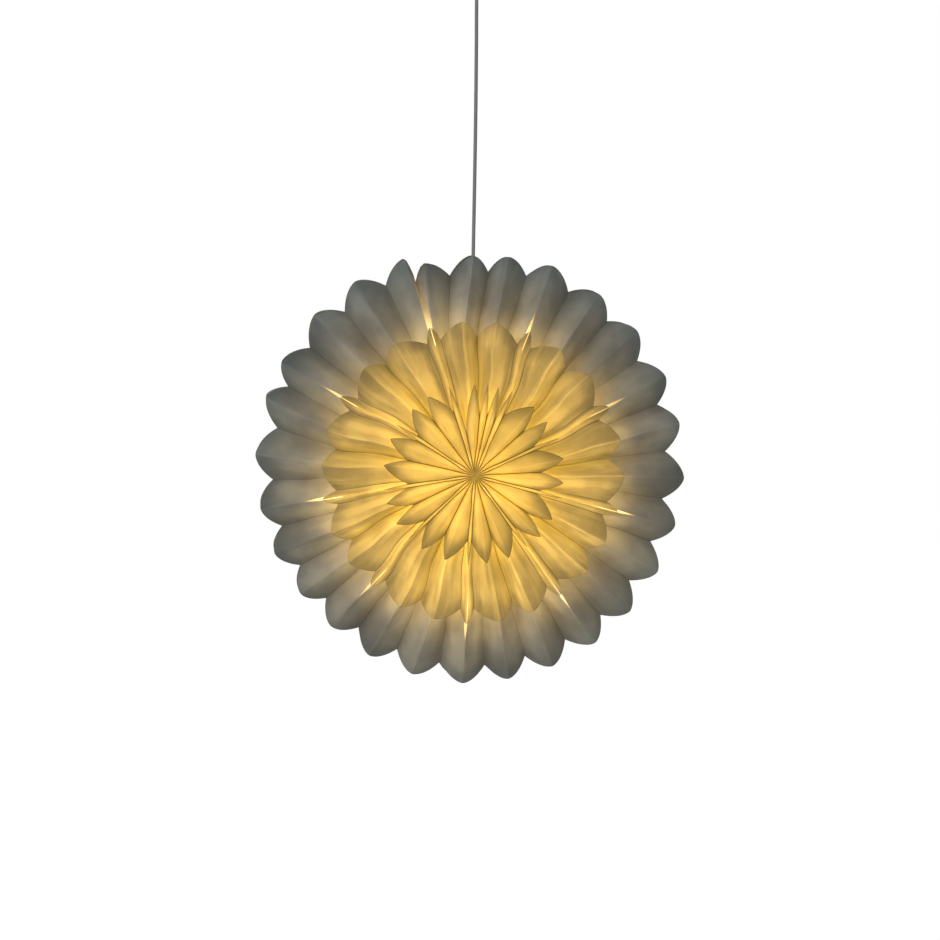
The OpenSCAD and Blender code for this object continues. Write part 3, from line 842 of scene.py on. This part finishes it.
@dataclass(frozen=True)
class PaperStar:
    """The pleated star: nine modules of five sheets each."""

    shown_tab: float = 0.0015
    joint_drop: float = 0.3
    rosette_drop: float = 0.8
    rosette_in_r: float = 0.0004
    rosette_notches: tuple = (0.033, 0.033, 0.033)
    squeezed_notches: tuple = (0.068, 0.042, 0.042, 0.042)
    middle_drops: tuple = (0, 0.15, 0, 0.7, 0, 0.15, 0)
    middle_notches: tuple = (0.020, 0.020, 0.020)
    middle_in_r: float = 0.084
    middle_gap_r: float = 0.065

    def rosette_row(self, folds: Sequence[float]) -> RowShape:
        """Shape of the front rosette, with shallow folds beside the joints."""
        last = len(folds) - 2
        drops = tuple(self.joint_drop if i in (1, last) else self.rosette_drop * (i % 2)
                      for i in range(len(folds)))
        notches = self.squeezed_notches if len(folds) > len(FOLDS_EVEN) else self.rosette_notches
        return RowShape("rosette", self.rosette_in_r, PLAN.inner_r, notches, edge_power=1.15,
                        panel_w=PLAN.rosette_w, drops=drops, tab_s=PLAN.tab_in_s, round_ridge=0.9)

    def middle_row(self, k: int) -> RowShape:
        """Shape of the middle row, which starts further in where the rosette's gap shows it."""
        return RowShape("middle", self.middle_gap_r if k == 0 else self.middle_in_r, PLAN.middle_r,
                        self.middle_notches, edge_power=1.5, panel_w=PLAN.middle_w, drops=self.middle_drops,
                        tab_s=PLAN.tab_in_s + PLAN.glue_step, round_ridge=0.5)

    def rosette_foot(self, r: float) -> float:
        """Height at which the shown part of the rosette's glue tabs ends."""
        return PLAN.rosette_ridge(r) - self.shown_tab

    def middle_foot(self, r: float) -> float:
        """Height at which the shown part of the middle row's glue tabs ends."""
        return PLAN.middle_ridge(r) - self.shown_tab

    def make(self) -> None:
        """Builds, dresses and reports all the sheets."""
        rim, lamp, rosette = (p.material() for p in (RIM_PAPER, LAMP_PAPER, ROSETTE_PAPER))
        for k in range(PLAN.modules):
            adopt(OuterModule(k).build(f"outer_paper_{k + 1}"), rim, f"outer_module_{k + 1}")
            folds = FOLDS_ROSETTE[k]
            for side in Side:
                tail = f"{side.name.lower()}_{k + 1}"
                middle = PleatedSheet(self.middle_row(k), k, side, PLAN.middle_ridge, self.middle_foot,
                                      FOLDS_MIDDLE)
                adopt(middle.build("middle_paper_" + tail), lamp, "middle_" + tail)
                front = PleatedSheet(self.rosette_row(folds), k, side, PLAN.rosette_ridge,
                                     self.rosette_foot, folds)
                adopt(front.build("rosette_paper_" + tail), rosette, "rosette_" + tail)


def adopt(piece: Thing, material: bpy.types.Material, node: str) -> None:
    """Dresses a piece, ties it to the frame and reports it.

    Args:
        piece: the new piece.
        material: its material.
        node: the node it stands for.
    """
    piece.data.materials.clear()
    piece.data.materials.append(material)
    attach(piece, BODY)
    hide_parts(node)
    LOG.info("%s stands for %s", piece.name, node)


def dress(node: str, material: bpy.types.Material) -> None:
    """Gives a node that keeps its shape its finish.

    Args:
        node: the node's name.
        material: its material.
    """
    piece = frame["nodes"][node]
    piece.data.materials.clear()
    piece.data.materials.append(material)
    LOG.info("%s keeps its shape", node)


@dataclass(frozen=True)
class Turned:
    """A piece turned about the lamp's upright axis.

    The profile lists radius and height in millimetres. The relief takes the angle in radians and the
    height in millimetres, and gives how deep the outer side is cut there, in millimetres.
    """

    name: str
    node: str
    slot: str
    finish: SolidFinish
    profile: tuple
    steps: int = 96
    soften: float = 0.6
    relief: Relief | None = None
    closed: bool = True
    sharp_angle: float = 25.0
    outward: float = 0.3

    def turn(self, bm: bmesh.types.BMesh) -> None:
        """Spins the profile once round."""
        line = [bm.verts.new((r * MM, 0, z * MM)) for r, z in self.profile]
        ends = zip(line, line[1:] + line[:1]) if self.closed else zip(line, line[1:])
        edges = [bm.edges.new(pair) for pair in ends]
        bmesh.ops.spin(bm, geom=line + edges, cent=(0, 0, 0), axis=(0, 0, 1), angle=math.tau,
                       steps=self.steps, use_merge=True)
        bmesh.ops.remove_doubles(bm, verts=bm.verts, dist=MERGE)
        bmesh.ops.recalc_face_normals(bm, faces=bm.faces)

    def soften_corners(self, bm: bmesh.types.BMesh) -> None:
        """Rounds the corners that run round the piece."""
        limit = math.radians(self.sharp_angle)
        sharp = [e for e in bm.edges if len(e.link_faces) == 2 and e.calc_face_angle() > limit]
        if sharp and self.soften > 0:
            bmesh.ops.bevel(bm, geom=sharp, offset=self.soften * MM, offset_type="OFFSET", segments=3,
                            profile=0.5, affect="EDGES", material=-1, clamp_overlap=True)

    def cut_relief(self, bm: bmesh.types.BMesh) -> None:
        """Cuts ribs or a thread into the outer side."""
        bm.normal_update()
        for v in bm.verts:
            out = Vector((v.co.x, v.co.y, 0))
            if out.length > MM and v.normal.dot(out.normalized()) > self.outward:
                depth = self.relief(math.atan2(v.co.y, v.co.x), v.co.z / MM)
                v.co -= out.normalized() * depth * MM

    def make(self) -> Thing:
        """Builds, dresses and reports the piece."""
        bm = bmesh.new()
        self.turn(bm)
        self.soften_corners(bm)
        if self.relief:
            self.cut_relief(bm)
        for face in bm.faces:
            face.smooth = True
        piece = put_mesh(self.name, bm)
        adopt(piece, self.finish.material(), self.node)
        return piece


def rows(low: float, high: float, r_low: float, r_high: float, count: int) -> tuple:
    """Points of a straight side, close enough together to be cut.

    Args:
        low: height where it starts.
        high: height where it ends.
        r_low: radius at low.
        r_high: radius at high.
        count: number of steps.

    Returns:
        Radius and height of each point.
    """
    return tuple((mix(r_low, r_high, i / count), mix(low, high, i / count)) for i in range(count + 1))


def moved(points: Sequence[tuple], r: float, z: float) -> tuple:
    """Points of a profile, moved by a radius and a height."""
    return tuple((r + dr, z + dz) for dr, dz in points)


def relief(depth: float, low: float, high: float, share: Relief) -> Relief:
    """Relief between two heights.

    Args:
        depth: greatest depth.
        low: height where it starts.
        high: height where it ends.
        share: gives the share of the depth at an angle and a height over low.

    Returns:
        What gives the depth at an angle and a height.
    """
    return lambda angle, z: depth * share(angle, z - low) if low < z < high else 0.0


def swell(turns: float) -> float:
    """Smooth wave that goes from 0 to 1 and back in each turn."""
    return 0.5 - 0.5 * math.cos(math.tau * turns)


def ribs(count: int, depth: float, low: float, high: float) -> Relief:
    """Relief of upright grooves between two heights."""
    return relief(depth, low, high, lambda angle, z: max(0.0, math.cos(count * angle)))


def rings(pitch: float, depth: float, low: float, high: float) -> Relief:
    """Relief of grooves that run round between two heights."""
    return relief(depth, low, high, lambda angle, z: swell(z / pitch))


def thread(pitch: float, depth: float, low: float, high: float) -> Relief:
    """Relief of a round screw thread that fades out at two heights."""
    def share(angle: float, z: float) -> float:
        """Share of the thread's depth there."""
        return swell(z / pitch - angle / math.tau) * clamp01(min(z, high - low - z) / pitch * 2)
    return relief(depth, low, high, share)


@dataclass(frozen=True)
class Fittings:
    """Turned parts of the lamp holder, the bulb and the ceiling fitting, sizes in millimetres.

    Grooves are lists of radius and height from the side and the height that they are cut at.
    """

    star_z: float = -740.0
    bore_r: float = 2.7
    cup_r: float = 55.0
    cup_low_r: float = 31.0
    cup_h: float = 62.0
    cup_turn: float = -33.2
    cup_wall: float = 2.0
    cup_groove: tuple = ((0, -3.4), (-0.6, -3.0), (-0.6, -2.2), (0, -1.8))
    gland_neck: float = 7.0
    gland_play: float = 0.2
    gland_seat: float = 0.1
    gland_r: float = 10.0
    gland_nose_r: float = 5.0
    gland_len: float = 12.0
    gland_taper: tuple = (-10.0, -4.0, 6.5, 9.6)
    gland_band: float = 3.5
    gland_inside: float = 5.0
    holder_r: float = 21.0
    holder_low: float = 21.0
    holder_len: float = 46.0
    holder_wall: float = 1.6
    holder_plain: float = 12.0
    holder_groove: tuple = ((0, -10.6), (-0.5, -10.0), (0, -9.4))
    cap_h: float = 14.0
    cap_arc: tuple = (0, 82, 6)
    cap_edge: float = 0.1
    grip_r: float = 5.0
    grip_end_r: float = 3.9
    grip_len: float = 22.0
    grip_plain: float = 3.0
    stop_r: float = 6.5
    stop_h: float = 12.0
    stop_top: float = 178.6
    screw_r: float = 13.2
    screw_len: float = 24.0
    screw_top: float = 53.0
    screw_plain: float = 5.0
    contact: tuple = ((8.8, -1.4), (7.6, -1.0), (5.0, -0.6), (4.2, 0.0))
    globe_r: float = 30.0
    globe_low: float = 25.0
    globe_arc: tuple = (-88, 36, 4)
    neck_step: float = 0.5
    neck_shares: tuple = (0.2, 0.4, 0.6, 0.8, 1)
    neck_power: float = 1.15

    def ceiling(self) -> tuple:
        """The cup and the cord's gland."""
        hole, inner = self.gland_neck + self.gland_play, self.cup_r - self.cup_wall
        bottom, floor = -self.cup_h, -self.cup_h + self.cup_wall
        cup = ((hole, bottom), (self.cup_low_r, bottom), (self.cup_r, self.cup_turn),
               *moved(self.cup_groove, self.cup_r, 0), (self.cup_r, 0), (inner, 0), (inner, self.cup_turn),
               (self.cup_low_r, floor), (hole, floor))
        low, high = bottom - self.gland_seat, floor + self.gland_seat
        tip, top = low - self.gland_len, high + self.gland_inside
        start, end, r_start, r_end = self.gland_taper
        gland = ((self.bore_r, tip), (self.gland_nose_r, tip),
                 *rows(low + start, low + end, r_start, r_end, 6),
                 *rows(low - self.gland_band, low, self.gland_r, self.gland_r, 3), (self.gland_neck, low),
                 (self.gland_neck, high), (self.gland_r, high), (self.gland_r, top), (self.bore_r, top))
        return (self.plastic("cup_shell", "ceiling_cup", cup, soften=1.6),
                self.plastic("gland_nut", "cup_gland", gland, steps=144, soften=0.3,
                             relief=ribs(18, 0.7, low - 9.5, low - 0.8)))

    def holder(self) -> tuple:
        """The cord grip, the stop collar and the holder's cap and shell."""
        bore, r = self.bore_r, self.holder_r
        foot = self.star_z + self.holder_low
        top = foot + self.holder_len
        peak = top + self.cap_h
        dome = tuple((math.cos(math.radians(a)) * r, top + math.sin(math.radians(a)) * self.cap_h)
                     for a in range(*self.cap_arc))
        cap = ((bore, top), *dome, (bore, peak - self.cap_edge))
        end = peak + self.grip_len
        grip = ((bore, peak), *rows(peak, end, self.grip_r, self.grip_end_r, 44), (bore, end))
        inner, plain = r - self.holder_wall, top - self.holder_plain
        shell = (*rows(foot, plain, r, r, 60), *moved(self.holder_groove, r, top), (r, top), (inner, top),
                 (inner, foot))
        high = self.star_z + self.stop_top
        low = high - self.stop_h
        stop = ((bore, low), *rows(low, high, self.stop_r, self.stop_r, 4), (bore, high))
        return (self.plastic("cord_grip_sleeve", "cord_grip", grip, soften=0.0,
                             relief=rings(4.0, 0.5, peak + self.grip_plain, end - self.grip_plain)),
                self.plastic("holder_dome", "holder_cap", cap, soften=0.3),
                self.plastic("holder_sleeve", "holder_shell", shell, soften=0.3,
                             relief=thread(3.0, 0.7, foot + 1, plain - 1)),
                self.plastic("stop_collar", "cord_stop", stop, steps=144, soften=0.5,
                             relief=ribs(24, 0.4, low + 1, high - 1)))

    def bulb(self) -> tuple:
        """The bulb's screw cap and its glass."""
        tip = self.star_z + self.screw_top
        low, end = tip - self.screw_len, tip - self.screw_plain
        cap = ((0, low), *rows(low, end, self.screw_r, self.screw_r, 76), *moved(self.contact, 0, tip),
               (0, tip))
        centre = self.star_z - self.globe_low
        neck_r = self.screw_r - self.neck_step
        globe = [(math.cos(math.radians(a)) * self.globe_r, centre + math.sin(math.radians(a)) * self.globe_r)
                 for a in range(*self.globe_arc)]
        r0, z0 = globe[-1]
        neck = [(mix(r0, neck_r, math.sin(math.pi / 2 * share)), mix(z0, low, share ** self.neck_power))
                for share in self.neck_shares]
        glass = ((0, centre - self.globe_r), *globe, *neck, (0, low))
        return (Turned("bulb_screw", "bulb_cap", "cap_metal", CAP_METAL, cap, soften=0.0, closed=False,
                       relief=thread(3.6, 0.9, low + 1, end)),
                Turned("bulb_globe", "bulb_glass", "opal_glass", LIT_GLASS, glass, soften=0.0, closed=False))

    def plastic(self, name: str, node: str, profile: tuple, **details: object) -> Turned:
        """A piece of white plastic."""
        return Turned(name, node, "white_plastic", WHITE_PLASTIC, profile, **details)

    def make(self) -> None:
        """Builds all of them; the glass casts no shadow, as the light stands inside it."""
        for part in (*self.ceiling(), *self.holder(), *self.bulb()):
            piece = part.make()
            if part.node == "bulb_glass":
                piece.visible_shadow = False


@dataclass(frozen=True)
class Cord:
    """The white cord, taut between the holder and the ceiling fitting."""

    diameter: float = 0.005
    top_z: float = -0.020
    low_z: float = -0.659
    route: tuple = ((0, 0, 0), (0, 0, 0.1), (0.6, 0, 0.2), (1, 0, 0.35), (0.8, 0, 0.5), (0.3, 0, 0.65),
                    (0, 0, 0.78), (0, 0, 0.9), (0, 0, 1))

    def points(self) -> list:
        """The route in metres, from the holder up to the ceiling fitting."""
        return [Vector((x * MM, y * MM, mix(self.top_z, self.low_z, t))) for x, y, t in reversed(self.route)]

    def make(self) -> Thing:
        curve = bpy.data.curves.new("cord_sheath", "CURVE")
        curve.dimensions = "3D"
        curve.bevel_depth = self.diameter / 2
        curve.bevel_resolution = 6
        curve.resolution_u = 6
        curve.use_fill_caps = True
        points = self.points()
        spline = curve.splines.new("BEZIER")
        spline.bezier_points.add(len(points) - 1)
        for knot, place in zip(spline.bezier_points, points):
            knot.co = place
            knot.handle_left_type = knot.handle_right_type = "AUTO"
        piece = put("cord_sheath", curve)
        adopt(piece, WHITE_CORD.material(), "cord")
        others = [bpy.data.objects[n] for n in ("stop_collar", "gland_nut", "cup_shell")]
        others += [frame["nodes"][n] for n in ("terminal_block", "ceiling_bracket")]
        return piece


@dataclass(frozen=True)
class Studio:
    """Camera, floor, light and backdrop."""

    azimuth: float = 4.2
    elevation: float = 5.0
    roll: float = 0.8
    distance: float = 4.0
    view_width: float = 1.316
    floor_z: float = -2.2
    floor_half: float = 12.0
    floor_glow: float = 0.92
    warm: tuple = (1.0, 0.62, 0.10)
    bulb_power: float = 0.42
    bulb_r: float = 0.028
    bulb_drop: float = 0.025
    glow_power: float = 0.11
    glow_size: float = 0.26
    glow_gap: float = 0.004
    glow_drop: float = 0.010
    room_power: float = 13.0
    room_size: float = 2.0
    room_place: tuple = (-2.4, -2.4, 0.6)
    ambient: float = 0.11
    ambient_tint: tuple = (0.96, 1.0, 1.0, 1)

    def camera(self) -> None:
        """Sets the camera on the star's middle at the photograph's angle."""
        target = Vector((0, 0, -PLAN.drop))
        az, el = math.radians(self.azimuth), math.radians(self.elevation)
        away = Vector((-math.sin(az) * math.cos(el), -math.cos(az) * math.cos(el), math.sin(el)))
        data = bpy.data.cameras.new("camera")
        data.angle = 2 * math.atan(self.view_width / 2 / self.distance)
        cam = put("camera", data)
        turn = (-away).to_track_quat("-Z", "Y").to_matrix().to_4x4()
        roll = Matrix.Rotation(math.radians(self.roll), 4, "Z")
        cam.matrix_world = Matrix.Translation(target + away * self.distance) @ turn @ roll
        bpy.context.scene.camera = cam

    def lamp(self, name: str, kind: str, power: float, place: tuple) -> Thing:
        """Adds a light of some kind and power at a place."""
        light = bpy.data.lights.new(name, kind)
        light.energy = power
        lamp = put(name, light)
        lamp.location = place
        return lamp

    def light(self) -> None:
        """Adds the bulb's light, the soft glow behind the paper and the room's light."""
        bpy.context.scene.view_settings.view_transform = "Standard"
        bulb = self.lamp("bulb_light", "POINT", self.bulb_power, (0, 0, -PLAN.drop - self.bulb_drop))
        bulb.data.color = self.warm
        bulb.data.shadow_soft_size = self.bulb_r
        for side in Side:
            place = (0, -side.value * self.glow_gap, -PLAN.drop - self.glow_drop)
            disc = self.lamp("inner_glow", "AREA", self.glow_power, place)
            disc.data.shape = "DISK"
            disc.data.size = self.glow_size
            disc.data.color = self.warm
            disc.rotation_euler = (math.radians(90 * side.value), 0, 0)
        room = self.lamp("room_light", "AREA", self.room_power, self.room_place)
        room.data.size = self.room_size
        aim = Vector((0, 0, -PLAN.drop)) - room.location
        room.rotation_euler = aim.to_track_quat("-Z", "Y").to_euler()

    def backdrop(self) -> None:
        """Makes the world white to the camera and dim to the lamp."""
        world = bpy.data.worlds.new("studio")
        world.use_nodes = True
        tree = world.node_tree
        tree.nodes.clear()
        blend = tree.nodes.new("ShaderNodeMixShader")
        path = tree.nodes.new("ShaderNodeLightPath")
        tree.links.new(path.outputs["Is Camera Ray"], blend.inputs["Fac"])
        for i, tint, strength in ((1, self.ambient_tint, self.ambient), (2, (1, 1, 1, 1), 1.0)):
            back = tree.nodes.new("ShaderNodeBackground")
            back.inputs["Color"].default_value = tint
            back.inputs["Strength"].default_value = strength
            tree.links.new(back.outputs["Background"], blend.inputs[i])
        out = tree.nodes.new("ShaderNodeOutputWorld")
        tree.links.new(blend.outputs["Shader"], out.inputs["Surface"])
        bpy.context.scene.world = world

    def floor(self) -> None:
        """Adds the plain pale floor."""
        bm = bmesh.new()
        bmesh.ops.create_grid(bm, x_segments=4, y_segments=4, size=self.floor_half)
        bmesh.ops.translate(bm, verts=bm.verts, vec=(0, 0, self.floor_z))
        piece = put_mesh("floor", bm)
        n = Nodes("pale_floor")
        face = n.add("BsdfPrincipled", Roughness=0.9)
        face.inputs["Base Color"].default_value = (0.9, 0.9, 0.9, 1)
        face.inputs["Emission Color"].default_value = (1, 1, 1, 1)
        face.inputs["Emission Strength"].default_value = self.floor_glow
        n.link(face.outputs["BSDF"], n.out.inputs["Surface"])
        piece.data.materials.append(n.material)
        piece.visible_diffuse = False
        piece.visible_shadow = False


def main() -> None:
    """Builds the lamp's looks in order and reports each piece."""
    logging.basicConfig(level=logging.INFO, format="%(message)s")
    studio = Studio()
    studio.camera()
    Fittings().make()
    Cord().make()
    PaperStar().make()
    for node, finish in (("hanger_bar", WHITE_PLASTIC), ("terminal_block", TERMINAL_PLASTIC),
                         ("ceiling_bracket", PLATED_STEEL), ("socket_insert", CERAMIC)):
        dress(node, finish.material())
    studio.light()
    studio.backdrop()
    studio.floor()


if __name__ == "__main__":
    main()
